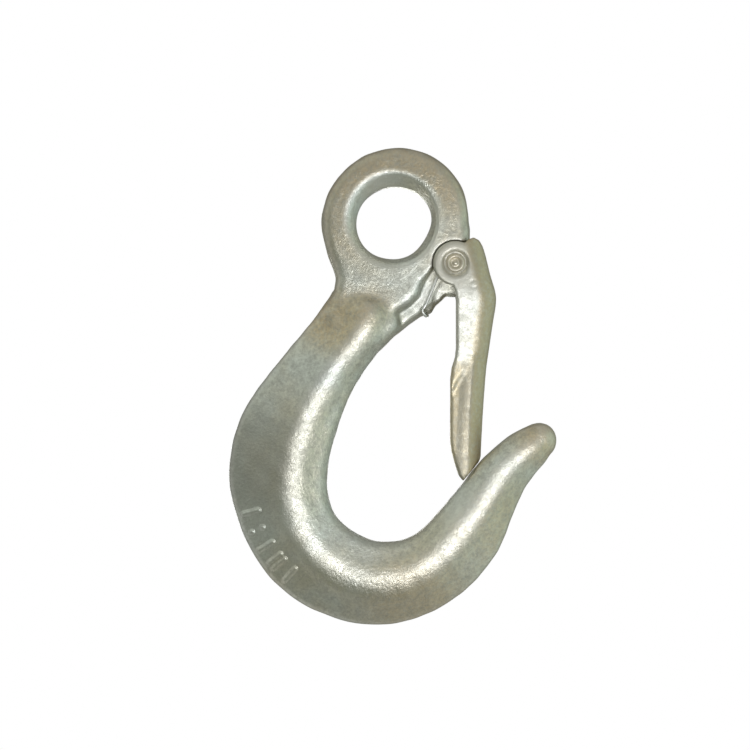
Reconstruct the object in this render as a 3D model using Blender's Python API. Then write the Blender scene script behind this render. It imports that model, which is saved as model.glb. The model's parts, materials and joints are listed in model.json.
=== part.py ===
"""Eye sling hook with a sprung safety latch: forged hook, pressed latch, rivet and torsion spring.

The hook hangs from its eye. Origin at the centre of the eye, +Z up, +X towards the latch side,
front face towards -Y. The drop forging is symmetric about its parting plane Y = 0.
"""

import math

import bmesh
import bpy
from mathutils import Vector

MM = 0.001
GAP = 0.3

EYE_RADIUS = 29.2
EYE_HOLE_RADIUS = 15.0
EYE_MOUTH_RADIUS = 18.8
PLATE_HALF = 8.0
PLATE_ROUND = 1.8

LUG_HALF = 4.2
LUG_RADIUS = 9.6
RECESS_RADIUS = 10.0
PIVOT = (24.0, -16.9)

SHEET = 1.8
EAR_RADIUS = 9.0
EAR_INNER_HALF = 8.0
EAR_OUTER_HALF = EAR_INNER_HALF + SHEET
CHANNEL_HALF = 7.0

PIN_RADIUS = 2.6
HEAD_RADIUS = 3.5
HEAD_HEIGHT = 1.7
DISH_DEPTH = 0.9
DISH_FLOOR_RADIUS = 4.2
DISH_RIM_RADIUS = 5.6

WIRE_RADIUS = 0.6
COIL_RADIUS = 4.7
COIL_PITCH = 1.25
SPRING_BAR = (12.9, -37.5)
SPRING_BEND = (10.9, -35.0)

# Stations along the hook from nose to tip, in mm: outer x, z, inner x, z, half thickness and
# where the crest lies, as a share of the width from the inner side.
STATIONS = [
    (-23.5, -28.0, -6.0, -29.5, 5.0, 0.34),
    (-25.6, -30.8, -4.2, -32.2, 9.6, 0.34),
    (-28.6, -34.2, -2.4, -36.0, 12.0, 0.34),
    (-33.6, -40.4, -2.0, -45.0, 12.9, 0.34),
    (-42.0, -51.0, -9.0, -54.6, 13.0, 0.33),
    (-50.2, -61.2, -15.8, -64.6, 13.0, 0.33),
    (-59.0, -73.6, -20.6, -75.2, 13.0, 0.33),
    (-64.2, -86.0, -24.0, -86.0, 13.0, 0.33),
    (-66.2, -100.0, -26.8, -99.2, 13.0, 0.33),
    (-64.6, -112.4, -26.0, -112.0, 13.0, 0.35),
    (-58.2, -129.4, -22.8, -119.2, 13.0, 0.38),
    (-47.6, -144.6, -17.2, -124.2, 13.0, 0.41),
    (-32.6, -154.8, -10.6, -127.0, 13.0, 0.44),
    (-17.0, -160.0, -6.0, -127.8, 13.0, 0.45),
    (-1.0, -160.6, -1.6, -128.0, 13.0, 0.45),
    (13.6, -156.2, 5.2, -126.4, 12.8, 0.44),
    (26.4, -148.4, 11.4, -122.6, 12.4, 0.43),
    (36.4, -138.2, 16.8, -117.0, 11.8, 0.42),
    (42.6, -128.4, 21.6, -111.4, 11.2, 0.41),
    (46.4, -118.4, 27.2, -104.4, 10.4, 0.40),
    (51.0, -108.0, 34.8, -94.8, 9.6, 0.42),
    (57.0, -99.2, 43.8, -87.0, 8.6, 0.45),
    (61.2, -94.8, 51.0, -82.2, 7.6, 0.48),
    (63.8, -91.0, 55.6, -80.4, 6.2, 0.50),
    (64.2, -86.6, 60.0, -81.2, 3.6, 0.50),
]
# Half of the cross section, from the inner edge over the crest to the back: share of width, share
# of thickness. The crest's share is moved to the station's own.
CREST = 0.34
SECTION = [(0.0, 0.0), (0.02, 0.36), (0.075, 0.68), (0.17, 0.9), (0.27, 0.985), (CREST, 1.0),
           (0.45, 0.955), (0.66, 0.81), (0.86, 0.66), (0.94, 0.52), (0.985, 0.3), (1.0, 0.0)]


def catmull_rom(rows, steps):
    """Rows of numbers joined by a smooth curve, each span cut into equal steps."""
    ends = [rows[0]] + list(rows) + [rows[-1]]
    out = []
    for i in range(len(rows) - 1):
        a, b, c, d = ends[i:i + 4]
        for k in range(steps):
            t = k / steps
            out.append([
                0.5 * (2 * q + (r - p) * t + (2 * p - 5 * q + 4 * r - s) * t * t
                       + (3 * q - p - 3 * r + s) * t ** 3)
                for p, q, r, s in zip(a, b, c, d)
            ])
    out.append(list(rows[-1]))
    return out


def arc(cx, cz, radius, start, end, steps):
    """Points of an arc in the XZ plane, angles in degrees from +X towards +Z."""
    turn = [math.radians(start + (end - start) * k / steps) for k in range(steps + 1)]
    return [(cx + radius * math.cos(t), cz + radius * math.sin(t)) for t in turn]


def material(name, colour, metallic, roughness):
    made = bpy.data.materials.new(name)
    made.use_nodes = True
    shader = made.node_tree.nodes["Principled BSDF"]
    shader.inputs["Base Color"].default_value = (*colour, 1.0)
    shader.inputs["Metallic"].default_value = metallic
    shader.inputs["Roughness"].default_value = roughness
    return made


def make_object(name, bm, origin=(0.0, 0.0, 0.0), helper=False):
    """An object from a bmesh in mm, its origin at the given point in mm."""
    bmesh.ops.recalc_face_normals(bm, faces=bm.faces)
    bmesh.ops.translate(bm, verts=bm.verts, vec=-Vector(origin))
    bmesh.ops.scale(bm, verts=bm.verts, vec=(MM, MM, MM))
    mesh = bpy.data.meshes.new(name)
    bm.to_mesh(mesh)
    bm.free()
    obj = bpy.data.objects.new(name, mesh)
    obj.location = Vector(origin) * MM
    bpy.context.scene.collection.objects.link(obj)
    if helper:
        obj.hide_render = True
        obj.display_type = "WIRE"
    return obj


def add_rings(bm, rings, closed_loop=False):
    """A skin over rings of points. Its two ends are capped, unless it closes on itself."""
    rows = [[bm.verts.new(p) for p in ring] for ring in rings]
    count = len(rows[0])
    pairs = list(zip(rows, rows[1:]))
    if closed_loop:
        pairs.append((rows[-1], rows[0]))
    for one, two in pairs:
        for k in range(count):
            bm.faces.new((one[k], one[(k + 1) % count], two[(k + 1) % count], two[k]))
    if not closed_loop:
        bm.faces.new(rows[0])
        bm.faces.new(rows[-1])


def solid_of_revolution(name, profile, centre, segments=32, helper=False):
    """A profile of (radius, y) points, from the first on the axis to the last on it, turned about Y."""
    bm = bmesh.new()
    rings = []
    for r, y in profile:
        turn = [2 * math.pi * k / segments for k in range(segments)]
        rings.append([(centre[0] + r * math.cos(t), y, centre[1] + r * math.sin(t)) for t in turn])
    add_rings(bm, rings)
    return make_object(name, bm, helper=helper)


def prism(name, outline, low, high, helper=False, round_by=0.0):
    """An outline in the XZ plane made solid from y = low to y = high, its rims rounded if asked."""
    bm = bmesh.new()
    add_rings(bm, [[(x, y, z) for x, z in outline] for y in (low, high)])
    if round_by:
        bmesh.ops.recalc_face_normals(bm, faces=bm.faces)
        rims = [e for e in bm.edges if abs(e.verts[0].co.y - e.verts[1].co.y) < 1e-6]
        bmesh.ops.bevel(bm, geom=rims, offset=round_by, segments=2, profile=0.5, affect="EDGES")
    return make_object(name, bm, helper=helper)


def combine(target, other, operation):
    step = target.modifiers.new(other.name, "BOOLEAN")
    step.operation = operation
    step.solver = "EXACT"
    step.object = other


def hook_rings():
    rings = []
    for x0, z0, x1, z1, half, crest in catmull_rom(STATIONS, 2):
        ring = []
        upper = []
        for share, rise in SECTION:
            if share <= CREST:
                across = share * crest / CREST
            else:
                across = crest + (share - CREST) * (1 - crest) / (1 - CREST)
            upper.append((x1 + (x0 - x1) * across, half * rise, z1 + (z0 - z1) * across))
        for x, y, z in upper:
            ring.append((x, -y, z))
        for x, y, z in reversed(upper[1:-1]):
            ring.append((x, y, z))
        rings.append(ring)
    return rings


def build_hook_body():
    bm = bmesh.new()
    add_rings(bm, hook_rings())
    body = make_object("hook_body", bm)

    rim = PLATE_HALF - PLATE_ROUND
    eye = solid_of_revolution("eye_disc", [
        (EYE_RADIUS - PLATE_ROUND, -PLATE_HALF), (EYE_RADIUS - 0.4, -rim - 0.5), (EYE_RADIUS, -rim + 0.8),
        (EYE_RADIUS, rim - 0.8), (EYE_RADIUS - 0.4, rim + 0.5), (EYE_RADIUS - PLATE_ROUND, PLATE_HALF),
    ], (0.0, 0.0), 56, helper=True)
    web = prism("web_plate", [
        (-24.0, -8.0), (-24.6, -14.6), (-23.6, -18.4), (-23.5, -23.2), (-24.5, -28.0), (-26.6, -32.4),
        (-28.6, -37.0), (-26.0, -48.0), (-6.0, -50.0), (1.4, -44.2), (6.0, -40.4), (10.0, -37.6),
        (15.6, -32.8), (20.0, -20.0), (14.0, -8.0),
    ], -PLATE_HALF, PLATE_HALF, helper=True, round_by=PLATE_ROUND)
    lug = prism("pivot_lug", (
        [(4.0, -8.0), (16.0, -2.0)]
        + arc(*PIVOT, LUG_RADIUS, 60, -20, 6)
        + arc(22.6, -20.4, 9.4, -22, -110, 6)
        + [(17.2, -32.2), (15.2, -34.4), (13.6, -36.9), (10.0, -37.8), (6.0, -40.6), (1.4, -44.4), (-4.0, -44.0)]
    ), -LUG_HALF, LUG_HALF, helper=True, round_by=1.2)
    for piece in (eye, web, lug):
        combine(body, piece, "UNION")

    recess = (
        arc(*PIVOT, RECESS_RADIUS, 10, 188, 13)
        + [(10.4, -25.6), (8.8, -30.0), (5.4, -33.4), (1.2, -36.6), (2.2, -43.0), (12.0, -48.0), (40.0, -40.0),
           (40.0, -18.0)]
    )
    for side, low, high in (("front", -20.0, -LUG_HALF), ("back", LUG_HALF, 20.0)):
        cutter = prism(f"recess_{side}", recess, low, high, helper=True)
        combine(body, cutter, "DIFFERENCE")

    mouth = [(EYE_MOUTH_RADIUS + 1.0, -12.0), (EYE_MOUTH_RADIUS, -PLATE_HALF)]
    for k in range(1, 6):
        t = math.radians(90 * k / 5)
        swell = (EYE_MOUTH_RADIUS - EYE_HOLE_RADIUS) * (1 - math.sin(t))
        mouth.append((EYE_HOLE_RADIUS + swell, -PLATE_HALF * math.cos(t)))
    mouth += [(r, -y) for r, y in reversed(mouth[:-1])]
    combine(body, solid_of_revolution("eye_hole", mouth, (0.0, 0.0), 48, helper=True), "DIFFERENCE")
    bore = PIN_RADIUS + GAP
    drill = solid_of_revolution("pin_hole", [(bore, -20.0), (bore, 20.0)], PIVOT, 28, helper=True)
    combine(body, drill, "DIFFERENCE")
    groove = WIRE_RADIUS + 1.6 * GAP
    notch = solid_of_revolution("bar_notch", [(groove, -9.0), (groove, 9.0)], SPRING_BAR, 12, helper=True)
    combine(body, notch, "DIFFERENCE")
    return body


# The latch's outer edge seen from the side, from the top of the web to its end: x, z and the
# half width of the channel there.
WEB_LINE = [
    (31.2, -5.6, EAR_OUTER_HALF), (34.0, -8.4, EAR_OUTER_HALF), (36.1, -13.6, EAR_OUTER_HALF),
    (38.0, -21.0, EAR_OUTER_HALF), (40.1, -28.2, EAR_OUTER_HALF), (40.3, -33.0, EAR_OUTER_HALF),
    (39.2, -40.0, EAR_OUTER_HALF), (38.0, -48.0, EAR_OUTER_HALF), (37.2, -54.0, 9.1),
    (36.6, -60.0, 7.6), (36.1, -66.0, CHANNEL_HALF), (35.4, -76.0, CHANNEL_HALF),
    (34.9, -86.0, 6.8), (34.5, -97.0, 6.4), (34.2, -108.0, 6.0),
]


def channel_ring(x, z, half):
    """A U section open towards -X, its corners rounded, made of pressed sheet."""
    corner = 4.4
    far = 2.0
    outer = [(far, -half)]
    inner = [(far, -half + SHEET)]
    for k in range(5):
        t = math.radians(-90 + 90 * k / 4)
        outer.append((x - corner + corner * math.cos(t), -half + corner + corner * math.sin(t)))
        inner.append((x - corner + (corner - SHEET) * math.cos(t),
                      -half + corner + (corner - SHEET) * math.sin(t)))
    outer += [(px, -py) for px, py in reversed(outer)]
    inner += [(px, -py) for px, py in reversed(inner)]
    return [(px, py, z) for px, py in outer + inner[::-1]]


def build_latch():
    bm = bmesh.new()
    rows = catmull_rom(WEB_LINE, 2)
    add_rings(bm, [channel_ring(*row) for row in rows])
    latch = make_object("latch", bm, (PIVOT[0], 0.0, PIVOT[1]))

    outline = (
        [(32.0, -4.0), (28.8, -5.8)]
        + arc(*PIVOT, EAR_RADIUS, 64, 262, 16)
        + [(23.6, -27.6), (24.3, -31.0), (24.3, -51.0), (23.9, -55.0), (22.9, -58.6), (22.4, -63.0),
           (22.3, -87.0), (22.8, -91.4), (24.2, -96.4), (25.8, -101.4), (27.4, -103.5), (34.6, -94.6),
           (60.0, -80.0), (60.0, 0.0)]
    )
    combine(latch, prism("latch_outline", outline, -20.0, 20.0, helper=True), "INTERSECT")
    bore = PIN_RADIUS + GAP
    drill = solid_of_revolution("ear_hole", [(bore, -20.0), (bore, 20.0)], PIVOT, 28, helper=True)
    combine(latch, drill, "DIFFERENCE")
    floor = EAR_OUTER_HALF - DISH_DEPTH
    for side, sign in (("front", -1), ("back", 1)):
        dish = solid_of_revolution(f"dish_{side}", [
            (DISH_FLOOR_RADIUS, sign * floor), (DISH_RIM_RADIUS, sign * EAR_OUTER_HALF),
            (DISH_RIM_RADIUS + 0.5, sign * (EAR_OUTER_HALF + 1.0)),
        ], PIVOT, 28, helper=True)
        combine(latch, dish, "DIFFERENCE")
    return latch


def build_rivet():
    seat = EAR_OUTER_HALF - DISH_DEPTH + GAP
    half = [(HEAD_RADIUS, seat), (HEAD_RADIUS, seat + 0.7), (HEAD_RADIUS - 0.5, seat + 1.3),
            (HEAD_RADIUS - 1.3, seat + HEAD_HEIGHT), (1.3, seat + HEAD_HEIGHT), (0.8, seat + 1.1)]
    profile = [(r, -y) for r, y in reversed(half)] + [(PIN_RADIUS, -seat), (PIN_RADIUS, seat)] + half
    rivet = solid_of_revolution("latch_rivet", profile, PIVOT, 28)
    return rivet


def sweep(path, radius, sides):
    """Rings of a round wire along a path, kept from twisting."""
    points = [Vector(p) for p in path]
    normal = Vector((0.0, 1.0, 0.0))
    rings = []
    for k, point in enumerate(points):
        ahead = points[min(k + 1, len(points) - 1)]
        behind = points[max(k - 1, 0)]
        tangent = (ahead - behind).normalized()
        normal = (normal - tangent * normal.dot(tangent)).normalized()
        across = tangent.cross(normal)
        ring = []
        for j in range(sides):
            t = 2 * math.pi * j / sides
            ring.append(tuple(point + radius * (math.cos(t) * normal + math.sin(t) * across)))
        rings.append(ring)
    return rings


def spring_half():
    """The front half of the wire, from the end of its latch leg to the middle of its cross bar."""
    px, pz = PIVOT
    lug_y = -(LUG_HALF + GAP + WIRE_RADIUS)
    latch_y = lug_y - 1.5 * COIL_PITCH
    reach = math.hypot(px - SPRING_BEND[0], pz - SPRING_BEND[1])
    leave = math.atan2(pz - SPRING_BEND[1], px - SPRING_BEND[0]) + math.asin(COIL_RADIUS / reach)
    start = -16.0
    end = math.degrees(leave) + 90
    turn = end - start + 360
    steps = 26
    path = [(33.6, latch_y + 0.3, -45.0), (31.5, latch_y, -33.5)]
    for k in range(steps + 1):
        t = math.radians(start + turn * k / steps)
        y = latch_y + (lug_y - latch_y) * k / steps
        path.append((px + COIL_RADIUS * math.cos(t), y, pz + COIL_RADIUS * math.sin(t)))
    path.append((SPRING_BEND[0], lug_y, SPRING_BEND[1]))
    path.append((SPRING_BEND[0] + 0.3, lug_y + 0.1, SPRING_BEND[1] - 1.4))
    path.append((SPRING_BAR[0] - 0.4, lug_y + 0.9, SPRING_BAR[1] - 0.1))
    path.append((SPRING_BAR[0], lug_y + 2.0, SPRING_BAR[1]))
    return path


def build_spring():
    half = spring_half()
    path = half + [(x, -y, z) for x, y, z in reversed(half)]
    bm = bmesh.new()
    add_rings(bm, sweep(path, WIRE_RADIUS, 8))
    return make_object("latch_spring", bm)


def finish(obj, surface, sharp):
    obj.data.materials.append(surface)
    for polygon in obj.data.polygons:
        polygon.use_smooth = True
    obj.data.set_sharp_from_angle(angle=math.radians(sharp))


for old in list(bpy.data.objects):
    bpy.data.objects.remove(old, do_unlink=True)

finish(build_hook_body(), material("forged_zinc", (0.62, 0.61, 0.55), 1.0, 0.38), 40)
finish(build_latch(), material("pressed_zinc", (0.72, 0.71, 0.66), 1.0, 0.3), 35)
finish(build_rivet(), material("rivet_zinc", (0.66, 0.65, 0.58), 1.0, 0.32), 35)
finish(build_spring(), material("spring_wire", (0.7, 0.7, 0.68), 1.0, 0.28), 50)
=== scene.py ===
"""Looks of the eye hook with its latch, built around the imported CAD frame.

Lengths in the shape code are millimetres and become metres when a mesh is made. The forging and the
latch are implicit surfaces, sampled on a grid and skinned, so that their parts run into each other in
fillets as on a real forging. Both are symmetric about the parting plane y = 0, front face towards -y.
"""

import json
import math

import bmesh
import bpy
import numpy as np
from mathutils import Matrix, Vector


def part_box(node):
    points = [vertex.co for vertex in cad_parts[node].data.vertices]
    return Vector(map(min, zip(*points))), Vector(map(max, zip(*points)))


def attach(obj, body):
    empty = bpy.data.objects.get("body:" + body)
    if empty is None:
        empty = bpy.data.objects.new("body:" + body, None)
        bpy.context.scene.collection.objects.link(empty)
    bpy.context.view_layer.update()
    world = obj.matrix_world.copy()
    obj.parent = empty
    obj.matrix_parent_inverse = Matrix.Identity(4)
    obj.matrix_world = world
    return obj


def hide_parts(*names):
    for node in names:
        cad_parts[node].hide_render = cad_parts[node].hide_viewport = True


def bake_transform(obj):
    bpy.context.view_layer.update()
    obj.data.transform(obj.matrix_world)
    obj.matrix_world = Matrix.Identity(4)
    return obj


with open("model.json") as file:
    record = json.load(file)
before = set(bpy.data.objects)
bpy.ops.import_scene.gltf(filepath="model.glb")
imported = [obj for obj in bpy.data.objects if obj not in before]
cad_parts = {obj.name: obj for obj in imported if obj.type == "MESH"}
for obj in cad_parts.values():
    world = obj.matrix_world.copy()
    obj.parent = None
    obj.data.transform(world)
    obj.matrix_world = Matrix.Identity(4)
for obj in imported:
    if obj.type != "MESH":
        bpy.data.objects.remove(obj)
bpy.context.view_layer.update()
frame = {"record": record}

MM = 0.001
JOINT = frame["record"]["behaviour"]["joints"][0]
PIVOT_X, PIVOT_Z = JOINT["pos_m"][0] / MM, JOINT["pos_m"][2] / MM


def box_mm(node):
    low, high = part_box(node)
    return [v / MM for v in low], [v / MM for v in high]


HOOK_LOW, HOOK_HIGH = box_mm("hook_body")
LATCH_LOW, LATCH_HIGH = box_mm("latch")
RIVET_HALF = box_mm("latch_rivet")[1][1]

# Grid spacing of the two implicit surfaces, and how often their skins are evened out.
FORGING_PITCH = 0.68
LATCH_PITCH = 0.5
RELAX_ROUNDS = 3

# Half values are distances from the parting plane, rims are roundings.
EYE_RADIUS = HOOK_HIGH[2]
PLATE_HALF = 8.0
PLATE_RIM = 3.4
PLATE_DRAFT = 0.1
RING_RIM = 3.6
THROAT_HALF, THROAT_ROUNDING = 1.4, 2.7
LUG_HALF = 4.2
PIN_HOLE = 2.9
WEB_FILLET, NOSE_FILLET, LUG_FILLET = 5.0, 3.4, 0.8
SHEET = 1.8
EAR_RADIUS = 9.0
EAR_HALF = LATCH_HIGH[1]
SEAT_RADIUS, SEAT_DEPTH = 4.5, 0.9

# Spans between stations are cut into so many steps, and their kinks evened out over so many.
STATION_STEPS, STATION_EVENING = 18, 9
# Stations along the hook from nose to tip: outer x, z, inner x, z, half thickness, crest share.
STATIONS = [
    (-23.5, -28.0, -6.0, -29.5, 5.0, 0.36),
    (-25.6, -30.8, -4.2, -32.2, 9.6, 0.36),
    (-28.6, -34.2, -2.4, -36.0, 12.0, 0.36),
    (-33.6, -40.4, -2.0, -45.0, 12.9, 0.35),
    (-42.3, -51.0, -8.9, -54.6, 13.0, 0.37),
    (-50.7, -61.2, -15.5, -64.6, 13.0, 0.36),
    (-59.4, -73.6, -20.5, -75.2, 13.0, 0.36),
    (-64.2, -86.0, -24.1, -86.0, 13.0, 0.375),
    (-66.2, -100.0, -27.1, -99.2, 13.0, 0.385),
    (-64.6, -112.4, -26.3, -112.0, 13.0, 0.395),
    (-58.3, -129.4, -22.4, -119.0, 13.0, 0.415),
    (-47.6, -144.6, -16.8, -123.9, 13.0, 0.43),
    (-32.6, -154.8, -10.6, -126.9, 13.0, 0.46),
    (-17.0, -160.0, -6.0, -127.8, 13.0, 0.47),
    (-1.0, -160.6, -1.6, -128.0, 13.0, 0.47),
    (13.6, -156.2, 5.2, -126.4, 12.8, 0.45),
    (26.5, -148.4, 11.1, -122.8, 12.4, 0.42),
    (36.4, -138.2, 16.3, -117.3, 11.8, 0.41),
    (42.6, -128.4, 21.2, -111.6, 11.2, 0.42),
    (46.4, -118.4, 27.2, -104.4, 10.4, 0.44),
    (51.0, -108.0, 34.8, -94.8, 9.6, 0.45),
    (56.6, -99.8, 43.8, -87.0, 8.6, 0.48),
    (60.3, -95.6, 50.6, -82.8, 7.5, 0.50),
    (61.9, -92.2, 55.3, -81.6, 6.1, 0.50),
]
# The ball at the tip: x, z and radius.
TIP = (57.5, -87.4, 6.9)
# The distance given to points that no section of the limb passes.
FAR = 12.0


def catmull_rom(rows, steps):
    """Rows of numbers joined by a smooth curve, each span cut into equal steps."""
    rows = np.asarray(rows, float)
    ends = np.vstack([rows[:1], rows, rows[-1:]])
    out = []
    for i in range(len(rows) - 1):
        a, b, c, d = ends[i:i + 4]
        for t in np.arange(steps) / steps:
            out.append(0.5 * (2 * b + (c - a) * t + (2 * a - 5 * b + 4 * c - d) * t ** 2
                              + (3 * b - a - 3 * c + d) * t ** 3))
    return np.array(out + [rows[-1]])


def evened(rows, reach):
    """Rows of a curve with its small kinks smoothed out and its broad bends kept."""
    taps = np.exp(-0.5 * (np.arange(-3 * reach, 3 * reach + 1) / reach) ** 2)
    taps /= taps.sum()

    def soften(values):
        before = 2 * values[0] - values[3 * reach:0:-1]
        after = 2 * values[-1] - values[-2:-3 * reach - 2:-1]
        padded = np.concatenate([before, values, after])
        return np.stack([np.convolve(column, taps, "valid") for column in padded.T], 1)

    return soften(2 * rows - soften(rows))


def arc(cx, cz, radius, start, end, steps):
    turn = np.radians(np.linspace(start, end, steps + 1))
    return list(zip(cx + radius * np.cos(turn), cz + radius * np.sin(turn)))


def smooth_min(a, b, k):
    h = np.maximum(k - np.abs(a - b), 0) / k
    return np.minimum(a, b) - h * h * k * 0.25


def smooth_max(a, b, k):
    return -smooth_min(-a, -b, k)


def smooth_step(low, high, value):
    """0 at low and 1 at high, smooth between. low may be above high."""
    t = np.clip((value - low) / (high - low), 0, 1)
    return t * t * (3 - 2 * t)


def polygon(x, z, points):
    """Signed distance to a closed outline, negative inside."""
    points = np.asarray(points, float)
    nearest = np.full(x.shape, 1e9)
    inside = np.zeros(x.shape, bool)
    for (ax, az), (bx, bz) in zip(points, np.roll(points, -1, axis=0)):
        ex, ez = bx - ax, bz - az
        px, pz = x - ax, z - az
        t = np.clip((px * ex + pz * ez) / (ex * ex + ez * ez), 0, 1)
        nearest = np.minimum(nearest, (px - ex * t) ** 2 + (pz - ez * t) ** 2)
        if az != bz:
            crosses = (az > z) != (bz > z)
            inside ^= crosses & (px < ex * pz / ez)
    return np.where(inside, -1, 1) * np.sqrt(nearest)


def tapered(x, y, ax, ay, ra, bx, by, rb):
    """Signed distance to the hull of two circles. Every argument may be an array."""
    length = np.hypot(bx - ax, by - ay)
    ux, uy = (bx - ax) / length, (by - ay) / length
    along = (x - ax) * ux + (y - ay) * uy
    off = np.abs((y - ay) * ux - (x - ax) * uy)
    slope = np.clip((ra - rb) / length, -0.99, 0.99)
    cosine = np.sqrt(1 - slope * slope)
    k = cosine * along - slope * off
    first = np.hypot(along, off) - ra
    last = np.hypot(along - length, off) - rb
    side = cosine * off + slope * along - ra
    return np.where(k < 0, first, np.where(k > cosine * length, last, side))


def rounded_corner(a, b, rounding):
    """Where two distances meet in an outside corner, that corner rounded."""
    a, b = a + rounding, b + rounding
    return np.hypot(np.maximum(a, 0), np.maximum(b, 0)) + np.minimum(np.maximum(a, b), 0) - rounding


def slab(outline, y, half, rounding):
    """An outline's distance made a plate of the given half thickness, its rims rounded."""
    return rounded_corner(outline, y - half, rounding)


def section_of(x, z):
    """For points of the side view: distance from the inner edge, width, half thickness, crest share."""
    rows = evened(catmull_rom(STATIONS, STATION_STEPS), STATION_EVENING)
    outer, inner = rows[:, 0:2], rows[:, 2:4]
    across = outer - inner
    width2 = (across ** 2).sum(1)
    found = np.full((4, x.size), np.nan)
    points = np.stack([x.ravel(), z.ravel()], 1)
    chunk, no_pair, widest = 8000, 9.0, 1.1
    for start in range(0, len(points), chunk):
        p = points[start:start + chunk]
        dx = p[:, 0:1] - inner[None, :, 0]
        dz = p[:, 1:2] - inner[None, :, 1]
        side = across[:, 0] * dz - across[:, 1] * dx
        share = (dx * across[:, 0] + dz * across[:, 1]) / width2
        # A point belongs to the pair of rows on either side of it that has it nearest mid-width.
        between = (side[:, :-1] > 0) != (side[:, 1:] > 0)
        cost = np.where(between, np.abs(share - 0.5)[:, :-1], no_pair)
        best = cost.argmin(1)
        r = np.arange(len(p))
        ok = cost[r, best] < widest
        t = side[r, best] / (side[r, best] - side[r, best + 1] + 1e-12)
        t = np.clip(t, 0, 1)
        s = share[r, best] * (1 - t) + share[r, best + 1] * t
        width = np.sqrt(width2[best] * (1 - t) + width2[best + 1] * t)
        half = rows[best, 4] * (1 - t) + rows[best + 1, 4] * t
        crest = rows[best, 5] * (1 - t) + rows[best + 1, 5] * t
        values = np.stack([s * width, width, half, crest])
        values[:, ~ok] = np.nan
        found[:, start:start + chunk] = values
    return found.reshape(4, *x.shape)


def hook_distance(x, z, y):
    """The thick hook: a rounded trapezoid section of three pairs of circles, and a ball at the tip."""
    along, width, half, crest = section_of(x, z)
    outside = np.isnan(along)[..., None]
    a, w, h, c = (np.nan_to_num(v, nan=10.0)[..., None] for v in (along, width, half, crest))
    inner_rounding, outer_rounding = 0.44 * h, 0.31 * h
    crest_rounding = np.minimum(1.02 * h, 0.94 * c * w)
    crest_half = h - crest_rounding
    inner = tapered(a, y, inner_rounding, 0.24 * h, inner_rounding, c * w, crest_half, crest_rounding)
    outer = tapered(a, y, c * w, crest_half, crest_rounding, w - outer_rounding, 0.12 * h, outer_rounding)
    body = np.where(outside, FAR, smooth_min(inner, outer, 0.5))
    tx, tz, radius = TIP
    ball = np.sqrt(((x - tx) ** 2 + (z - tz) ** 2)[..., None] + (y * 1.04) ** 2) - radius
    # The limb and the ball blend broadly behind the ball's centre and tightly beyond it.
    past = 0.85 * (x - tx) + 0.53 * (z - tz)
    return smooth_min(body, ball, 0.8 + 2.2 * smooth_step(0.0, -8.0, past)[..., None])


def eye_profile(x, z, y):
    """The ring's section: flat face, rounded rim, and a lip and a throat that change a little round it."""
    r = np.hypot(x, z)[..., None]
    turn = np.arctan2(z, x)[..., None]
    # The lip is softest at the left, and its bright line and the throat wander a little.
    lip_rounding = 3.2 - 1.7 * np.cos(turn) + 0.8 * np.sin(turn)
    shine = 18.4 - 1.0 * np.cos(turn) + 0.65 * np.sin(turn) - 0.33 * np.cos(2 * turn)
    lip, lip_half = shine + 0.36 * lip_rounding, PLATE_HALF - lip_rounding
    throat = 17.5 - 0.1 * np.cos(turn) - 0.6 * np.sin(turn) + 0.5 * np.cos(2 * turn)
    throat += 0.5 * np.exp(-((turn + 2.3) / 0.5) ** 2) - 1.5 * np.exp(-((turn + 0.5) / 0.6) ** 2)
    rim, rim_half = EYE_RADIUS - RING_RIM, PLATE_HALF - RING_RIM
    mouth = tapered(r, y, lip, lip_half, lip_rounding, throat, THROAT_HALF, THROAT_ROUNDING)
    face = tapered(r, y, lip, lip_half, lip_rounding, rim, rim_half, RING_RIM)
    core = tapered(r, y, throat, THROAT_HALF, THROAT_ROUNDING, rim, rim_half, RING_RIM)
    return np.minimum(np.minimum(mouth, face), core)


def web_outline():
    return [
        (-23.9, -6.0), (-24.6, -13.0), (-23.8, -18.0), (-23.4, -22.6), (-24.2, -27.2), (-26.0, -31.6),
        (-28.4, -36.4), (-26.0, -48.0), (-6.0, -50.0), (1.4, -44.2), (6.0, -40.4), (10.0, -37.6),
        (15.6, -32.8), (20.0, -20.0), (28.9, -9.0), (27.9, -4.0), (16.0, -5.0), (0.0, -16.5),
    ]


def lug_outline():
    return (
        [(4.0, -19.0), (16.0, -6.0)]
        + arc(PIVOT_X, PIVOT_Z, 9.6, 75, -20, 8)
        + arc(22.6, -20.4, 9.4, -22, -105, 8)
        + [(18.2, -31.6), (16.0, -33.6), (14.2, -36.4), (10.0, -37.8), (6.0, -40.6), (1.4, -44.4),
           (-4.0, -46.0)]
    )


def recess_outline():
    return (
        arc(PIVOT_X, PIVOT_Z, 8.7, 10, 188, 16)
        + [(11.4, -25.6), (9.8, -30.0), (6.4, -33.6), (1.6, -36.8), (2.6, -43.0), (12.0, -48.0),
           (40.0, -40.0), (40.0, -18.0)]
    )


# The marks stand on an arc; each has its angle there and its kind.
MARK_CENTRE = (-6.4, 0.0, -101.2)
MARK_RADIUS = 53.0
MARKS = [(196, "bar"), (204, "dots"), (212, "bar"), (220, "double bar"), (228, "bar")]
MARK_HALF_WIDTH = 1.3
MARK_HEIGHT = 0.95


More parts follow.
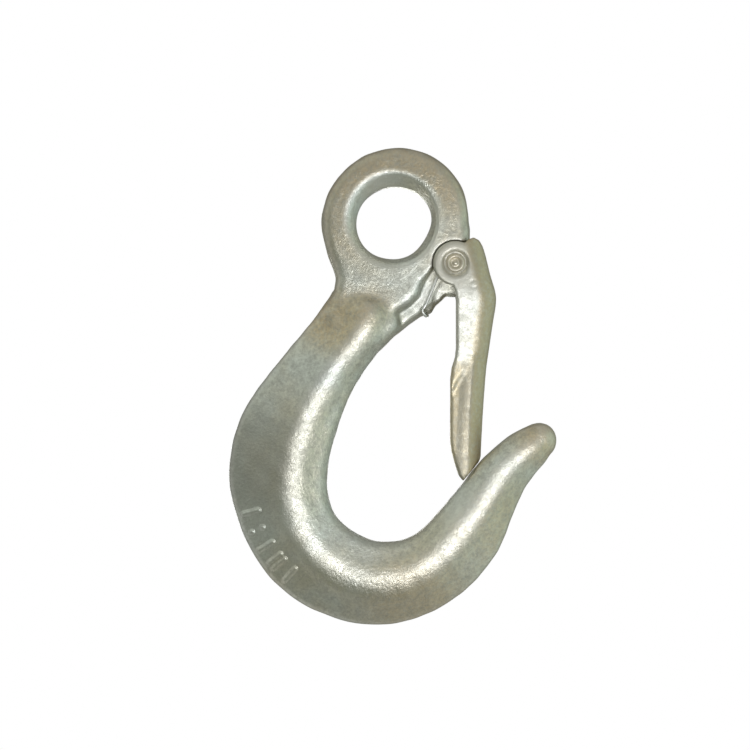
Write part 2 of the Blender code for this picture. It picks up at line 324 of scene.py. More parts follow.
def mark_strokes():
    """Both ends of every stroke of the marks, in the side view."""
    bar, dot, dot_gap, double_bar, double_gap = 3.2, 0.1, 2.4, 3.0, 1.3
    strokes = []
    for angle, kind in MARKS:
        t = math.radians(angle)
        ux, uz = math.cos(t), math.sin(t)
        cx, cz = MARK_CENTRE[0] + MARK_RADIUS * ux, MARK_CENTRE[2] + MARK_RADIUS * uz
        if kind == "bar":
            strokes.append((cx - bar * ux, cz - bar * uz, cx + bar * ux, cz + bar * uz))
        elif kind == "dots":
            for s in (-dot_gap, dot_gap):
                strokes.append((cx + s * ux - dot, cz + s * uz, cx + s * ux + dot, cz + s * uz))
        else:
            for s in (-double_gap, double_gap):
                mx, mz = cx - s * uz, cz + s * ux
                strokes.append((mx - double_bar * ux, mz - double_bar * uz,
                                mx + double_bar * ux, mz + double_bar * uz))
    return strokes


def mark_height(x, z):
    """How far the generic raised marks, bars and dots, stand out of the hook's outer flank."""
    height = np.zeros_like(x)
    for ax, az, bx, bz in mark_strokes():
        ex, ez = bx - ax, bz - az
        t = np.clip(((x - ax) * ex + (z - az) * ez) / (ex * ex + ez * ez), 0, 1)
        distance = np.hypot(x - ax - ex * t, z - az - ez * t)
        height = np.maximum(height, MARK_HEIGHT * (1 - (distance / MARK_HALF_WIDTH) ** 2))
    return height


def plate_distance(x, z, y):
    """The eye's ring and the web, one plate whose faces fall away slightly towards the ring's rim."""
    reach = np.hypot(x, z)
    turn = np.arctan2(z, x)
    # The top of the ring leans to the right.
    lean = (0.6 * np.sin(2 * turn) + 0.2 * np.sin(turn)) * smooth_step(-2.0, 8.0, z)
    ring = reach - EYE_RADIUS - lean
    web = polygon(x, z, web_outline())
    outline = smooth_min(ring, web, WEB_FILLET)[..., None]
    lowered = 0.055 * np.maximum(reach - 20.5, 0) * smooth_step(-27.0, -8.0, z)
    depth = y + lowered[..., None]
    plate = slab(outline + PLATE_DRAFT * y, depth, PLATE_HALF, PLATE_RIM)
    # Near its hole the ring has a section of its own.
    in_eye = (reach < 23.0)[..., None]
    return np.where(in_eye, np.maximum(plate, eye_profile(x, z, depth)), plate)


def lug_distance(x, z, y):
    """The thin lug in the middle plane, thinner still towards its lower edge."""
    taper = 0.12 * np.maximum(0.5 * (x - 8.0) - 0.87 * (z + 22.0), 0)[..., None]
    rounding = 1.7 + 2.0 * smooth_step(16.0, 6.0, x)[..., None]
    return slab(polygon(x, z, lug_outline())[..., None], y + taper, LUG_HALF, rounding)


def forging_distance(x, z, y):
    body = smooth_min(hook_distance(x, z, y), plate_distance(x, z, y), NOSE_FILLET)
    # The recess for the latch's ears: below the pivot its wall leans and its edge is softer.
    lean = 0.02 + 0.38 * smooth_step(-17.0, -25.0, z)[..., None]
    wall = polygon(x, z, recess_outline())[..., None] * 0.93 - (y - LUG_HALF) * lean
    edge = 1.2 + 1.5 * smooth_step(-20.0, -27.0, z)[..., None]
    body = smooth_max(body, -smooth_max(wall, LUG_HALF - y, 0.6), edge)
    body = smooth_min(body, lug_distance(x, z, y), LUG_FILLET)
    hole = np.hypot(x - PIVOT_X, z - PIVOT_Z)[..., None] - PIN_HOLE
    body = smooth_max(body, -hole, 0.4)
    # A trimmed flash line runs round the parting plane, outside the eye.
    flash = 0.28 * np.exp(-(y / 0.9) ** 2) * smooth_step(17.0, 20.0, np.hypot(x, z))[..., None]
    return body - flash


def surface_nets(f, origin, pitch):
    """Vertices and quads of the zero level of a sampled distance."""
    inside = f < 0
    n = f.shape
    corners = [(i, j, k) for i in (0, 1) for j in (0, 1) for k in (0, 1)]
    count = sum(inside[i:n[0] - 1 + i, j:n[1] - 1 + j, k:n[2] - 1 + k].astype(np.int8)
                for i, j, k in corners)
    active = (count > 0) & (count < 8)
    cell = np.argwhere(active)
    index = np.full(active.shape, -1, np.int64)
    index[active] = np.arange(len(cell))
    value = {c: f[tuple((cell + c).T)] for c in corners}
    total, hits = np.zeros((len(cell), 3)), np.zeros((len(cell), 1))
    for c in corners:
        for axis in range(3):
            if c[axis]:
                continue
            far = tuple(v + (k == axis) for k, v in enumerate(c))
            a, b = value[c], value[far]
            crossing = (a < 0) != (b < 0)
            t = a / np.where(crossing, a - b, 1)
            step = np.zeros(3)
            step[axis] = 1
            total[crossing] += (np.array(c) + t[:, None] * step)[crossing]
            hits[crossing] += 1
    points = (cell + total / hits) * pitch + origin
    quads = []
    for axis in range(3):
        u, v = [k for k in range(3) if k != axis]
        low = [slice(None)] * 3
        high = [slice(None)] * 3
        low[axis], high[axis] = slice(0, n[axis] - 1), slice(1, n[axis])
        for k in (u, v):
            low[k] = high[k] = slice(1, n[k] - 1)
        a, b = inside[tuple(low)], inside[tuple(high)]
        at = np.argwhere(a != b)
        at[:, u] += 1
        at[:, v] += 1
        ring = []
        for du, dv in ((1, 1), (0, 1), (0, 0), (1, 0)):
            c = at.copy()
            c[:, u] -= du
            c[:, v] -= dv
            ring.append(index[tuple(c.T)])
        ring = np.stack(ring, 1)
        solid_low = a[a != b]
        flip = solid_low if axis != 1 else ~solid_low
        ring[~flip] = ring[~flip][:, ::-1]
        quads.append(ring)
    return points, np.concatenate(quads)


def sample(f, origin, pitch, points):
    """Trilinear value of a sampled distance and its gradient."""
    g = (points - origin) / pitch
    base = np.clip(np.floor(g).astype(int), 0, np.array(f.shape) - 2)
    t = g - base
    value = np.zeros(len(points))
    slope = np.zeros((len(points), 3))
    for i in (0, 1):
        for j in (0, 1):
            for k in (0, 1):
                corner = f[base[:, 0] + i, base[:, 1] + j, base[:, 2] + k]
                w = [t[:, a] if c else 1 - t[:, a] for a, c in enumerate((i, j, k))]
                d = [1.0 if c else -1.0 for c in (i, j, k)]
                value += corner * w[0] * w[1] * w[2]
                slope[:, 0] += corner * d[0] * w[1] * w[2]
                slope[:, 1] += corner * w[0] * d[1] * w[2]
                slope[:, 2] += corner * w[0] * w[1] * d[2]
    return value, slope / pitch


def neighbour_mean(points, quads):
    """The mean place of each vertex's neighbours along the quads' edges."""
    a = quads.ravel()
    b = np.roll(quads, -1, axis=1).ravel()
    count = len(points)
    degree = np.bincount(a, minlength=count) + np.bincount(b, minlength=count)
    total = np.stack([np.bincount(a, points[b, axis], count) + np.bincount(b, points[a, axis], count)
                      for axis in range(3)], 1)
    return total / degree[:, None]


def relax(points, quads, f, origin, pitch, rounds):
    """Evens out a skin's vertices and puts them back on the zero level."""
    for _ in range(rounds):
        points = 0.4 * points + 0.6 * neighbour_mean(points, quads)
        for _ in range(2):
            value, slope = sample(f, origin, pitch, points)
            step = slope * (value / np.maximum((slope ** 2).sum(1), 0.05))[:, None]
            points = points - np.clip(step, -0.5 * pitch, 0.5 * pitch)
    return points


def skin(distance, low, high, pitch):
    """Points and quads of an implicit solid symmetric about y = 0, of which only y >= 0 is evaluated."""
    xs = np.arange(low[0] - 2.5 * pitch, high[0] + 3 * pitch, pitch)
    zs = np.arange(low[2] - 2.5 * pitch, high[2] + 3 * pitch, pitch)
    ys = np.arange(0, high[1] + 3 * pitch, pitch)
    x, z = np.meshgrid(xs, zs, indexing="ij")
    half = distance(x, z, ys[None, None, :])
    f = np.concatenate([half[..., :0:-1], half], axis=2).transpose(0, 2, 1)
    origin = np.array([xs[0], -ys[-1], zs[0]])
    points, quads = surface_nets(f, origin, pitch)
    return relax(points, quads, f, origin, pitch, RELAX_ROUNDS), quads


def mesh_object(name, points, faces, node):
    """A smooth-shaded piece from points in mm, standing for a CAD node."""
    mesh = bpy.data.meshes.new(name)
    mesh.from_pydata((np.asarray(points) * MM).tolist(), [], faces)
    mesh.update()
    mesh.shade_smooth()
    obj = bpy.data.objects.new(name, mesh)
    bpy.context.scene.collection.objects.link(obj)
    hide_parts(node)
    return obj


def unevenness(points):
    """Slow swell and hollow of a hammered surface, about -1 to 1, at points in mm."""
    x, y, z = points.T
    waves = ((0.31, 0.17, 0.23, 0.4), (-0.19, 0.37, 0.29, 1.7), (0.47, -0.28, 0.39, 2.9),
             (0.12, 0.51, -0.43, 4.1), (-0.53, 0.21, 0.34, 5.3), (0.66, 0.45, 0.58, 0.9))
    return sum(np.sin(a * x + b * y + c * z + phase) for a, b, c, phase in waves) / 3.0


def set_value(obj, name, values):
    """A number at each vertex, for the material to read."""
    layer = obj.data.attributes.new(name, "FLOAT", "POINT")
    layer.data.foreach_set("value", np.asarray(values, np.float32))


def worn_edges(points, quads, normals, rounds, depth):
    """0 on flats and in hollows, up to 1 on ridges standing depth mm above their surroundings."""
    calm = points
    for _ in range(rounds):
        calm = 0.3 * calm + 0.7 * neighbour_mean(calm, quads)
    return smooth_step(0.0, depth, ((points - calm) * normals).sum(1))


def blotch(points, x, z, reach):
    """1 at (x, z) in the side view, fading to 0 at the given reach in mm."""
    return smooth_step(reach, 0.25 * reach, np.hypot(points[:, 0] - x, points[:, 2] - z))


def blotches(points, spots):
    """Sum of blotches, each given as x, z, reach and weight."""
    return sum(weight * blotch(points, x, z, reach) for x, z, reach, weight in spots)


def vertex_normals(points, quads):
    corner = points[quads]
    across = np.cross(corner[:, 2] - corner[:, 0], corner[:, 3] - corner[:, 1])
    normals = np.zeros_like(points)
    for axis in range(3):
        for k in range(4):
            normals[:, axis] += np.bincount(quads[:, k], across[:, axis], len(points))
    return normals / np.maximum(np.linalg.norm(normals, axis=1), 1e-9)[:, None]


# Blotches on the forging: x, z, reach and weight. The patina spots stain the plating, the shade spots are
# painted shade on the left limb's outer flank, the right limb's outer flank and the web, and the crinkle
# spots add a finer bump.
PATINA_SPOTS = [
    (-25.0, -39.0, 20.0, 1.0), (-8.0, -34.0, 12.0, 0.6), (10.0, -152.0, 36.0, 0.7),
    (46.0, -122.0, 28.0, 0.7), (59.0, -87.0, 16.0, 0.8), (-22.0, -4.0, 14.0, 0.3),
]
SHADE_SPOTS = [(-54.0, -94.0, 32.0, 1.0), (54.0, -118.0, 22.0, 0.4), (-6.0, -28.0, 18.0, 0.35)]
CRINKLE_SPOTS = [(-8.0, -141.0, 22.0, 0.6), (13.0, 15.0, 9.0, 0.8)]


def paint_hook(obj, points, quads, normals):
    """Where the forging is stained, crinkled and bright from wear on its ridges, with painted sheen and
    painted shade in places.
    """
    radius = np.hypot(points[:, 0], points[:, 2])
    flats = smooth_step(0.88, 0.985, np.abs(normals[:, 1])) * smooth_step(-34.0, -44.0, points[:, 2])
    # Ridges bright from wear are real; the rest is painted sheen, a lighter colour and smoother finish on
    # the surfaces facing front and back low on the hook, on the eye's upper-left lip where a shackle would
    # bear, on the lug face and on the right limb's inner face.
    lip_sheen = blotch(points, -14.0, 12.0, 26.0) * smooth_step(21.5, 20.2, radius)
    rubbed_and_painted_sheen = np.stack([
        worn_edges(points, quads, normals, 10, 0.35), 0.6 * flats, lip_sheen,
        0.9 * blotch(points, 13.0, -29.0, 9.0), 0.7 * blotch(points, 25.0, -114.0, 15.0),
    ]).max(0)
    face = smooth_step(19.0, 21.0, radius)
    crown = smooth_step(-4.0, 22.0, points[:, 2]) * face
    ring = smooth_step(-24.0, -10.0, points[:, 2]) * face
    patina = crown + 0.3 * ring + blotches(points, PATINA_SPOTS)
    set_value(obj, "wear_and_painted_sheen", rubbed_and_painted_sheen)
    set_value(obj, "patina", np.minimum(patina, 1.0))
    # Painted shade: the eye ring darker, most at its top, and the shade spots darker still.
    set_value(obj, "shade", 0.3 * (ring + crown) + blotches(points, SHADE_SPOTS))
    set_value(obj, "crinkle", np.minimum(blotches(points, CRINKLE_SPOTS), 1.0))


def raise_marks(obj):
    """Lifts the marks out of the front face, its mesh made finer round them first."""
    work = bmesh.new()
    work.from_mesh(obj.data)
    centre = Vector(MARK_CENTRE) * MM
    first, last = MARKS[0][0] - 10, MARKS[-1][0] + 10
    near = []
    for edge in work.edges:
        middle = (edge.verts[0].co + edge.verts[1].co) / 2 - centre
        angle = math.degrees(math.atan2(middle.z, middle.x)) % 360
        off_arc = math.hypot(middle.x, middle.z) / MM - MARK_RADIUS
        if first < angle < last and -10 < off_arc < 9 and edge.verts[0].normal.y < -0.5:
            near.append(edge)
    bmesh.ops.subdivide_edges(work, edges=near, cuts=1, use_grid_fill=True)
    work.verts.ensure_lookup_table()
    places = np.array([v.co for v in work.verts]) / MM
    heights = mark_height(places[:, 0], places[:, 2])
    for index in np.flatnonzero(heights > 0.001):
        vert = work.verts[int(index)]
        if vert.co.y < 0:
            vert.co.y -= heights[index] * MM
    work.to_mesh(obj.data)
    work.free()
    obj.data.shade_smooth()


def build_hook():
    points, quads = skin(forging_distance, HOOK_LOW, HOOK_HIGH, FORGING_PITCH)
    normals = vertex_normals(points, quads)
    # The swell is weaker in the eye's mouth and round the pivot.
    from_eye = np.hypot(points[:, 0], points[:, 2])
    from_pivot = np.hypot(points[:, 0] - PIVOT_X, points[:, 2] - PIVOT_Z)
    free = smooth_step(17.0, 24.0, from_eye) * smooth_step(6.0, 12.0, from_pivot)
    swell = 0.10 * unevenness(points) * (0.25 + 0.75 * free)
    points = points + normals * swell[:, None]
    obj = mesh_object("hook_forging", points, quads.tolist(), "hook_body")
    paint_hook(obj, points, quads, normals)
    raise_marks(obj)
    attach(obj, "hook")
    return obj


# The latch's back from top to end: x, z, half width and the rounding of its long edges.
WEB_LINE = [
    (33.6, -5.4, 9.8, 7.6), (34.8, -8.8, 9.8, 7.8), (36.2, -13.6, 9.8, 8.0), (38.0, -21.0, 9.8, 8.2),
    (40.1, -28.2, 9.7, 8.4), (40.3, -33.0, 9.35, 8.4), (39.2, -40.0, 8.7, 8.0), (38.0, -48.0, 7.95, 7.2),
    (37.4, -52.5, 7.5, 7.2), (37.1, -55.5, 7.05, 6.9), (36.6, -60.0, 7.0, 6.9), (36.1, -66.0, 7.0, 6.9),
    (35.4, -76.0, 7.0, 6.9), (34.9, -86.0, 6.8, 6.7), (34.5, -97.0, 6.4, 6.3), (34.2, -108.0, 6.0, 5.9),
]
WEB_STEPS = 12
# Below the joggle the cheeks are hollow and the bends turn flat.
JOGGLE_Z = -55.0
HOLLOW_DEPTH = 1.15
# The small ring pressed into each cheek: x, z, radius and half width.
RING_MARK = (31.3, -25.1, 1.5, 0.32)


def web_line():
    """The latch's back as rows of x, z, half width and rounding, from its end up."""
    return catmull_rom(WEB_LINE, WEB_STEPS)[::-1]


def latch_outline():
    return (
        [(60.0, -17.0), (37.9, -15.8), (36.9, -12.4), (35.6, -9.6), (33.6, -7.4), (31.3, -6.4),
         (29.2, -7.2)]
        + arc(PIVOT_X, PIVOT_Z, EAR_RADIUS, 66, 262, 24)
        + [(23.6, -27.6), (24.3, -31.0), (24.3, -50.4), (23.9, -54.0), (22.6, -58.2), (22.0, -63.0),
           (21.9, -87.0), (22.4, -91.4), (23.7, -96.4), (25.3, -101.4), (27.1, -103.7), (34.7, -94.8),
           (60.0, -80.2)]
    )


def cheek_hollow(x, z, edge, corner):
    """How far the lower cheeks step in, from an upper edge that curves down towards the free side."""
    inward = np.clip((edge - corner + 1.0 - x[..., None]) / 8.0, 0, 1)
    short = np.clip(30.6 - x, 0, 9)
    below = JOGGLE_Z - 0.9 * short - 0.06 * short ** 2 - z
    return HOLLOW_DEPTH * np.sin(inward * math.pi / 2) * smooth_step(-1.0, 4.5, below)[..., None]


def latch_distance(x, z, y):
    """Pressed sheet: the skin of a bar rounded at its back, cut to the latch's outline."""
    rows = web_line()
    edge, half, corner = (np.interp(z, rows[:, 1], rows[:, k])[..., None] for k in (0, 2, 3))
    lean = np.interp(z, rows[:, 1], np.gradient(rows[:, 0], rows[:, 1]))[..., None]
    back = (x[..., None] - edge) / np.sqrt(1 + lean * lean)
    side = y - half + cheek_hollow(x, z, edge, corner)
    round_bend = rounded_corner(back, side, corner)
    flat_bend = smooth_max(smooth_max(back, side, 1.0), (back + side + 5.2) * math.sqrt(0.5), 2.6)
    shape = round_bend + (flat_bend - round_bend) * smooth_step(-50.0, -57.0, z)[..., None]
    sheet = np.abs(shape + SHEET / 2) - SHEET / 2
    body = smooth_max(sheet, polygon(x, z, latch_outline())[..., None], 1.4)
    # The rivet's seat is a shallow dish with a sloping wall, its hole in the middle.
    reach = np.hypot(x - PIVOT_X, z - PIVOT_Z)[..., None]
    floor = EAR_HALF - SEAT_DEPTH
    dish = np.maximum(reach - SEAT_RADIUS - 1.3 * np.maximum(y - floor, 0), floor - y)
    body = smooth_max(body, -dish, 0.5)
    body = smooth_max(body, PIN_HOLE - reach, 0.3)
    mark_x, mark_z, mark_radius, mark_half = RING_MARK
    from_mark = np.hypot(x - mark_x, z - mark_z)[..., None]
    groove = np.hypot(from_mark - mark_radius, y - EAR_HALF) - mark_half
    return smooth_max(body, -groove, 0.3)


def build_latch():
    points, quads = skin(latch_distance, LATCH_LOW, LATCH_HIGH, LATCH_PITCH)
    obj = mesh_object("latch_pressing", points, quads.tolist(), "latch")
    rows = web_line()
    from_back = np.interp(points[:, 2], rows[:, 1], rows[:, 0]) - points[:, 0]
    rounded = smooth_step(8.5, 5.0, from_back)
    ear = smooth_step(12.5, 8.0, np.hypot(points[:, 0] - PIVOT_X, points[:, 2] - PIVOT_Z))
    channel = smooth_step(-53.0, -59.0, points[:, 2])
    floor = channel * smooth_step(4.6, 5.8, from_back) * smooth_step(10.8, 10.0, from_back)
    set_value(obj, "patina", np.minimum(0.95 * rounded + 0.15 * ear + 0.85 * channel, 1.0))
    # Painted shade: the ear, the floor of the channel below the joggle and the rounded back are darkened.
    set_value(obj, "shade", 0.45 * ear + 1.1 * floor + 0.25 * rounded)
    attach(obj, "latch")
    return obj


def lathe(name, profile, segments, node):
    """A closed profile of (radius, y) from axis to axis, turned about the rivet's axis."""
    turn = np.linspace(0, 2 * math.pi, segments, endpoint=False)
    points = []
    faces = []
    for r, y in profile[1:-1]:
        points += [(PIVOT_X + r * math.cos(t), y, PIVOT_Z + r * math.sin(t)) for t in turn]
    first, last = len(points), len(points) + 1
    points += [(PIVOT_X, profile[0][1], PIVOT_Z), (PIVOT_X, profile[-1][1], PIVOT_Z)]
    for low in range(0, first - segments, segments):
        high = low + segments
        for k in range(segments):
            n = (k + 1) % segments
            faces.append((low + k, low + n, high + n, high + k))
    low = first - segments
    faces += [(first, (k + 1) % segments, k) for k in range(segments)]
    faces += [(last, low + k, low + (k + 1) % segments) for k in range(segments)]
    obj = mesh_object(name, points, faces, node)
    work = bmesh.new()
    work.from_mesh(obj.data)
    bmesh.ops.recalc_face_normals(work, faces=work.faces)
    work.to_mesh(obj.data)
    work.free()
    return obj


def build_rivet():
    """A pin with the same formed head at each end, dimpled in the middle."""
    seat = EAR_HALF - SEAT_DEPTH + 0.02
    top = RIVET_HALF
    half = [(2.6, seat), (3.55, seat), (3.8, seat + 0.12), (3.85, seat + 0.5), (3.8, seat + 0.9),
            (3.6, seat + 1.25), (3.3, top - 0.12), (2.95, top), (2.6, top - 0.05), (2.3, top - 0.25),
            (2.0, top - 0.65), (1.75, top - 1.0), (1.45, top - 1.1), (1.15, top - 0.95), (0.8, top - 0.6),
            (0.4, top - 0.42), (0.0, top - 0.36)]
    other = [(r, -y) for r, y in reversed(half)]
    obj = lathe("rivet_turned", other + half, 72, "latch_rivet")
    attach(obj, "hook")
    return obj


WIRE_RADIUS = 0.6
WIRE_SIDES = 12
ROUTE_STEPS = 3
LATCH_LEG = [(32.8, -5.4, -45.0), (32.4, -5.9, -41.0), (31.3, -6.7, -33.5)]
LUG_GAP = 0.3
COIL_RADIUS = 4.7
COIL_PITCH = 1.25
COIL_START = -16.0
COIL_STEPS = 60
SPRING_BAR = (12.9, -37.5)
SPRING_BEND = (10.9, -35.0)


def spring_half():
    """The front half of the wire, from the end of its latch leg to the middle of its cross bar."""
    lug_y = -(LUG_HALF + LUG_GAP + WIRE_RADIUS)
    latch_y = lug_y - 1.5 * COIL_PITCH
    bar_x, bar_z = SPRING_BAR
    bend_x, bend_z = SPRING_BEND
    # The coil ends where its tangent points at the bend, about one and a half turns on.
    aim = math.atan2(PIVOT_Z - bend_z, PIVOT_X - bend_x)
    leave = aim + math.asin(COIL_RADIUS / math.hypot(PIVOT_X - bend_x, PIVOT_Z - bend_z))
    turn = math.degrees(leave) + 90 - COIL_START + 360
    path = list(LATCH_LEG)
    for k in range(COIL_STEPS + 1):
        t = math.radians(COIL_START + turn * k / COIL_STEPS)
        y = latch_y + (lug_y - latch_y) * k / COIL_STEPS
        path.append((PIVOT_X + COIL_RADIUS * math.cos(t), y, PIVOT_Z + COIL_RADIUS * math.sin(t)))
    return path + [
        (bend_x + 1.6, lug_y, bend_z + 2.2),
        (bend_x + 0.3, lug_y, bend_z + 0.4),
        (bend_x + 0.1, lug_y + 0.05, bend_z - 0.8),
        (bend_x + 0.6, lug_y + 0.2, bend_z - 1.8),
        (bar_x - 0.5, lug_y + 0.8, bar_z - 0.1),
        (bar_x, lug_y + 1.6, bar_z),
        (bar_x, lug_y + 3.2, bar_z),
    ]


def build_spring():
    half = spring_half()
    route = catmull_rom(half + [(x, -y, z) for x, y, z in reversed(half)], ROUTE_STEPS)
    normal = Vector((0.0, 1.0, 0.0))
    points, faces = [], []
    for k, place in enumerate(route):
        tangent = Vector(route[min(k + 1, len(route) - 1)] - route[max(k - 1, 0)]).normalized()
        normal = (normal - tangent * normal.dot(tangent)).normalized()
        across = tangent.cross(normal)
        for j in range(WIRE_SIDES):
            t = 2 * math.pi * j / WIRE_SIDES
            points.append(Vector(place) + WIRE_RADIUS * (math.cos(t) * normal + math.sin(t) * across))
    end = (len(route) - 1) * WIRE_SIDES
    for low in range(0, end, WIRE_SIDES):
        high = low + WIRE_SIDES
        for j in range(WIRE_SIDES):
            n = (j + 1) % WIRE_SIDES
            faces.append((low + j, low + n, high + n, high + j))
    faces += [tuple(range(WIRE_SIDES))[::-1], tuple(range(end, end + WIRE_SIDES))]
    obj = mesh_object("spring_wound", points, faces, "latch_spring")
    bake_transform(obj)
    return obj


class Nodes:
    """Short-hand for adding and wiring a material's nodes."""

    def __init__(self, name):
        self.material = bpy.data.materials.new(name)
        self.material.use_nodes = True
        self.tree = self.material.node_tree
        self.shader = self.tree.nodes["Principled BSDF"]

    def add(self, kind, inputs=None, **settings):
        node = self.tree.nodes.new(kind)
        for key, value in settings.items():
            setattr(node, key, value)
        for key, value in (inputs or {}).items():
            self.wire(node.inputs[key], value)
        return node

    def wire(self, socket, value):
        if isinstance(value, bpy.types.NodeSocket):
            self.tree.links.new(value, socket)
        else:
            socket.default_value = value

    def noise(self, scale, detail, roughness, offset=0.0):
        """Noise of about so many cells a metre, its pattern moved by the offset."""
        place = self.add("ShaderNodeTexCoord").outputs["Object"]
        if offset:
            moved = {0: place, 1: (offset, offset * 1.7, -offset)}
            place = self.add("ShaderNodeVectorMath", moved).outputs[0]
        return self.add("ShaderNodeTexNoise", {
            "Vector": place, "Scale": scale, "Detail": detail, "Roughness": roughness,
        }).outputs["Fac"]

    def remap(self, value, low, high, to_low=0.0, to_high=1.0):
        return self.add("ShaderNodeMapRange", {
            "Value": value, "From Min": low, "From Max": high, "To Min": to_low, "To Max": to_high,
        }).outputs["Result"]

    def mix(self, factor, a, b):
        return self.add("ShaderNodeMix", {0: factor, 6: a, 7: b}, data_type="RGBA").outputs[2]

    def maths(self, operation, a, b):
        return self.add("ShaderNodeMath", {0: a, 1: b}, operation=operation).outputs[0]

    def bump(self, height, strength, distance, under=None):
        inputs = {"Height": height, "Strength": strength, "Distance": distance}
        if under is not None:
            inputs["Normal"] = under
        return self.add("ShaderNodeBump", inputs).outputs["Normal"]


# Colours that are mixed over each piece's own tints: for wear with painted sheen, for painted shade, and
# for the grain's pits.
WEAR_AND_SHEEN_TINT = (0.82, 0.83, 0.81, 1.0)
PAINTED_SHADE_TINT = (0.37, 0.36, 0.31, 1.0)
PITTED = (0.36, 0.36, 0.33, 1.0)


def zinc(name, pale, tan, stain, rough, lumps, pits):
    """Bright zinc plate: cloudy tint, speckled patina, ridges bright from wear with painted sheen, painted
    shade, an orange-peel grain and small pits.

    The patina, the wear with its painted sheen, the painted shade and the crinkle come from numbers at the
    mesh's vertices, and a piece that has none of these reads 0.
    """
    n = Nodes(name)
    patina, wear_and_painted_sheen, shade, crinkle = (
        n.add("ShaderNodeAttribute", attribute_name=key).outputs["Fac"]
        for key in ("patina", "wear_and_painted_sheen", "shade", "crinkle")
    )
    cloud = n.noise(38.0, 3.0, 0.6)
    mottles = n.noise(330.0, 3.0, 0.6, 0.7)
    grit = n.noise(800.0, 4.0, 0.7, 0.3)
    speck = n.noise(700.0, 3.0, 0.6, 1.9)
    colour = n.mix(n.remap(cloud, 0.38, 0.62), (*pale, 1.0), (*tan, 1.0))
    stained = n.maths("MULTIPLY", patina, n.remap(speck, 0.36, 0.56, 0.65, 1.0))
    colour = n.mix(stained, colour, (*stain, 1.0))
    # Wear and painted sheen lighten the colour.
    colour = n.mix(n.maths("MULTIPLY", wear_and_painted_sheen, 0.5), colour, WEAR_AND_SHEEN_TINT)
    # Painted shade darkens the colour where the mesh asks for it.
    colour = n.mix(n.maths("MULTIPLY", shade, 0.5), colour, PAINTED_SHADE_TINT)
    grain = n.maths("ADD", n.maths("MULTIPLY", grit, 0.6), n.maths("MULTIPLY", mottles, 0.4))
    pitted = n.remap(grain, 0.40, 0.62, 0.0, 1.1 * pits)
    dulled = n.maths("MULTIPLY", pitted, n.remap(wear_and_painted_sheen, 0.0, 1.0, 1.0, 0.2))
    colour = n.mix(dulled, colour, n.mix(0.6, colour, PITTED))
    unpolished = n.maths("ADD", mottles, n.maths("MULTIPLY", grit, 0.8))
    gloss = n.remap(unpolished, 0.65, 1.15, rough - 0.08, rough + 0.1)
    gloss = n.maths("SUBTRACT", gloss, n.maths("MULTIPLY", wear_and_painted_sheen, 0.05))
    normal = n.bump(n.noise(420.0, 3.0, 0.55, 1.1), lumps, 0.0005)
    normal = n.bump(grit, pits, 0.00024, normal)
    normal = n.bump(n.noise(750.0, 2.0, 0.5, 2.3), crinkle, 0.0004, normal)
    for key, value in (("Base Color", colour), ("Metallic", 1.0), ("Roughness", gloss),
                       ("Normal", normal)):
        n.wire(n.shader.inputs[key], value)
    return n.material


def emission(name, colour, strength):
    made = bpy.data.materials.new(name)
    made.use_nodes = True
    tree = made.node_tree
    tree.nodes.clear()
    glow = tree.nodes.new("ShaderNodeEmission")
    glow.inputs["Color"].default_value = (*colour, 1.0)
    glow.inputs["Strength"].default_value = strength
    out = tree.nodes.new("ShaderNodeOutputMaterial")
    tree.links.new(glow.outputs[0], out.inputs["Surface"])
    return made


def area_light(name, place, target, width, height, power, colour):
    data = bpy.data.lights.new(name, "AREA")
    data.shape = "RECTANGLE"
    data.size = width
    data.size_y = height
    data.energy = power
    data.color = colour
    lamp = bpy.data.objects.new(name, data)
    lamp.location = place
    lamp.rotation_euler = (Vector(target) - Vector(place)).to_track_quat("-Z", "Y").to_euler()
    bpy.context.scene.collection.objects.link(lamp)
    lamp.visible_camera = False


def build_stage():
    """A pale floor curving up into a round wall, seen by the camera and not mirrored in the plating."""
    floor_z, wall, top, cove, peak, steps = -0.42, 3.2, 3.2, 0.8, 3.8, 8
    profile = [(wall - cove, floor_z)]
    for k in range(1, steps + 1):
        t = math.radians(90 * k / steps)
        profile.append((wall - cove + cove * math.sin(t), floor_z + cove - cove * math.cos(t)))
    profile.append((wall, top))
    segments = 64
    work = bmesh.new()
    rows = []
    for r, z in profile:
        turns = [2 * math.pi * k / segments for k in range(segments)]
        rows.append([work.verts.new((r * math.cos(t), r * math.sin(t), z)) for t in turns])
    low = work.verts.new((0, 0, floor_z))
    high = work.verts.new((0, 0, peak))
    for k in range(segments):
        n = (k + 1) % segments
        work.faces.new((low, rows[0][k], rows[0][n]))
        work.faces.new((high, rows[-1][n], rows[-1][k]))
        for one, two in zip(rows, rows[1:]):
            work.faces.new((one[k], one[n], two[n], two[k]))
    mesh = bpy.data.meshes.new("studio")
    work.to_mesh(mesh)
    work.free()
    mesh.shade_smooth()
    room = bpy.data.objects.new("studio", mesh)
    bpy.context.scene.collection.objects.link(room)
    mesh.materials.append(emission("studio_white", (1.0, 1.0, 1.0), 1.0))
    room.visible_glossy = False
    room.visible_diffuse = False
    room.visible_shadow = False


def build_camera():
    """Straight at the flat of the hook, a little under its middle, the picture 300 mm wide there."""
    data = bpy.data.cameras.new("camera")
    distance = 1.1
    width = 0.3
    data.sensor_width = 36.0
    data.lens = data.sensor_width * distance / width
    foot = Vector((0.004, 0.0, -0.0692))
    middle = Vector((-0.008, 0.0, -0.0612))
    data.shift_x = (middle.x - foot.x) / width
    data.shift_y = (middle.z - foot.z) / width
    camera = bpy.data.objects.new("camera", data)
    camera.location = foot + Vector((0.0, -distance, 0.0))
    camera.rotation_euler = (math.radians(90), 0.0, 0.0)
    bpy.context.scene.collection.objects.link(camera)
    bpy.context.scene.camera = camera


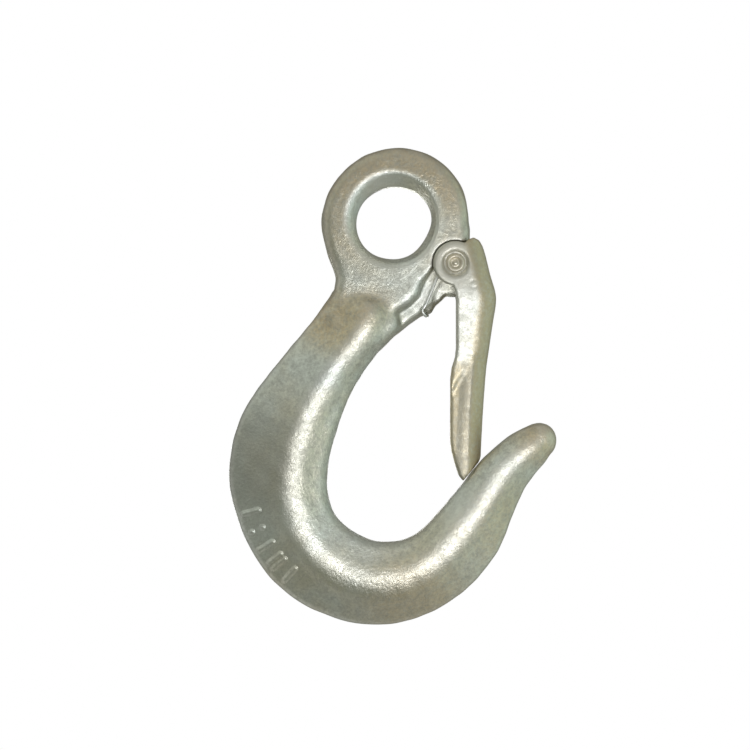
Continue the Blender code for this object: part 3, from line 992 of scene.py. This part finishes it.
def direction(right, up):
    """Unit vector from the hook, turned from the camera's side by degrees to the right and up."""
    a, b = math.radians(right), math.radians(up)
    return math.sin(a) * math.cos(b), -math.cos(a) * math.cos(b), math.sin(b)


# Soft panels of the surroundings: degrees right of the camera's side and up, half width where the
# panel is full and where it ends, and the radiance it adds.
PANELS = [
    (-36, -20, 8, 50, (-0.24, -0.23, -0.24)),
    (0, -60, 5, 45, (-0.15, -0.15, -0.16)),
    (0, 38, 5, 35, (0.12, 0.11, 0.10)),
    (90, 0, 15, 60, (0.14, 0.24, 0.20)),
    (-60, 45, 10, 45, (0.11, 0.14, 0.11)),
    (180, 0, 10, 75, (-0.26, -0.26, -0.26)),
]
AIR = (0.44, 0.445, 0.42)


def build_world():
    world = bpy.data.worlds.new("studio_air")
    bpy.context.scene.world = world
    world.use_nodes = True
    tree = world.node_tree
    facing = tree.nodes.new("ShaderNodeTexCoord").outputs["Generated"]
    total = None
    for right, up, inner, outer, gain in PANELS:
        dot = tree.nodes.new("ShaderNodeVectorMath")
        dot.operation = "DOT_PRODUCT"
        tree.links.new(facing, dot.inputs[0])
        dot.inputs[1].default_value = direction(right, up)
        ramp = tree.nodes.new("ShaderNodeMapRange")
        ramp.interpolation_type = "SMOOTHSTEP"
        ramp.inputs["From Min"].default_value = math.cos(math.radians(outer))
        ramp.inputs["From Max"].default_value = math.cos(math.radians(inner))
        tree.links.new(dot.outputs["Value"], ramp.inputs["Value"])
        scaled = tree.nodes.new("ShaderNodeVectorMath")
        scaled.operation = "SCALE"
        scaled.inputs[0].default_value = gain
        tree.links.new(ramp.outputs["Result"], scaled.inputs["Scale"])
        added = tree.nodes.new("ShaderNodeVectorMath")
        added.operation = "ADD"
        added.inputs[0].default_value = AIR
        if total:
            tree.links.new(total, added.inputs[0])
        tree.links.new(scaled.outputs["Vector"], added.inputs[1])
        total = added.outputs["Vector"]
    tree.links.new(total, tree.nodes["Background"].inputs["Color"])


def build_lights():
    build_world()
    centre = (0.0, 0.0, -0.065)
    area_light("key", (0.065, -0.28, -0.118), centre, 0.20, 0.075, 0.25, (0.985, 1.0, 1.03))
    area_light("back_key", (-0.065, 0.28, -0.118), centre, 0.20, 0.075, 0.21, (1.0, 1.0, 1.0))


hook = build_hook()
latch = build_latch()
rivet = build_rivet()
spring = build_spring()

STAIN = (0.75, 0.62, 0.41)
LATCH_STAIN = (0.64, 0.54, 0.35)
forged = zinc("forged_zinc_plate", (0.78, 0.81, 0.75), (0.80, 0.77, 0.64), STAIN, 0.41, 0.12, 0.85)
pressed = zinc("pressed_zinc_plate", (0.77, 0.78, 0.74), (0.76, 0.74, 0.65), LATCH_STAIN, 0.44, 0.12, 0.3)
turned = zinc("rivet_zinc_plate", (0.72, 0.68, 0.58), (0.70, 0.62, 0.48), STAIN, 0.36, 0.03, 0.1)
wire = zinc("spring_steel_wire", (0.80, 0.81, 0.80), (0.76, 0.76, 0.72), STAIN, 0.36, 0.05, 0.1)
for obj, made in ((hook, forged), (latch, pressed), (rivet, turned), (spring, wire)):
    obj.data.materials.clear()
    obj.data.materials.append(made)

build_stage()
build_camera()
build_lights()
bpy.context.scene.view_settings.view_transform = "Standard"
